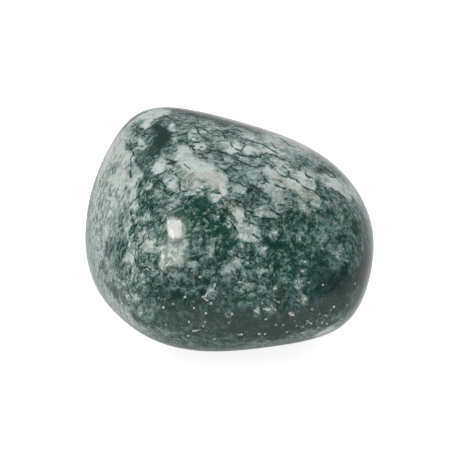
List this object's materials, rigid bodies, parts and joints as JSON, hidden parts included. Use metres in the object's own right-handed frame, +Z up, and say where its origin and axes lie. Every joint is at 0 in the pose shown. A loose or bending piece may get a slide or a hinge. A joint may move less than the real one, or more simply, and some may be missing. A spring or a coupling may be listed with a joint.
{
  "type": "tumbled stone",
  "caption": "Tumbled tree agate: a rounded, drum-polished pebble with soft worn edges, mottled dark green, sea green and milky white, lying on its flattest side.",
  "frame": {"origin": "on the surface that the pebble lies on, under the middle of its box", "axes": "+X along the pebble's length, to the right as it is seen from the front; +Z up, out of the surface that it lies on; -Y towards the viewer"},
  "size_m": [0.0356, 0.0298, 0.0278],
  "materials": {
    "polished_stone": "drum polish, glossy, mottled green and milky white with a few pits"
  },
  "bodies": {
    "root": {"pebble": "polished_stone"}
  },
  "joints": []
}
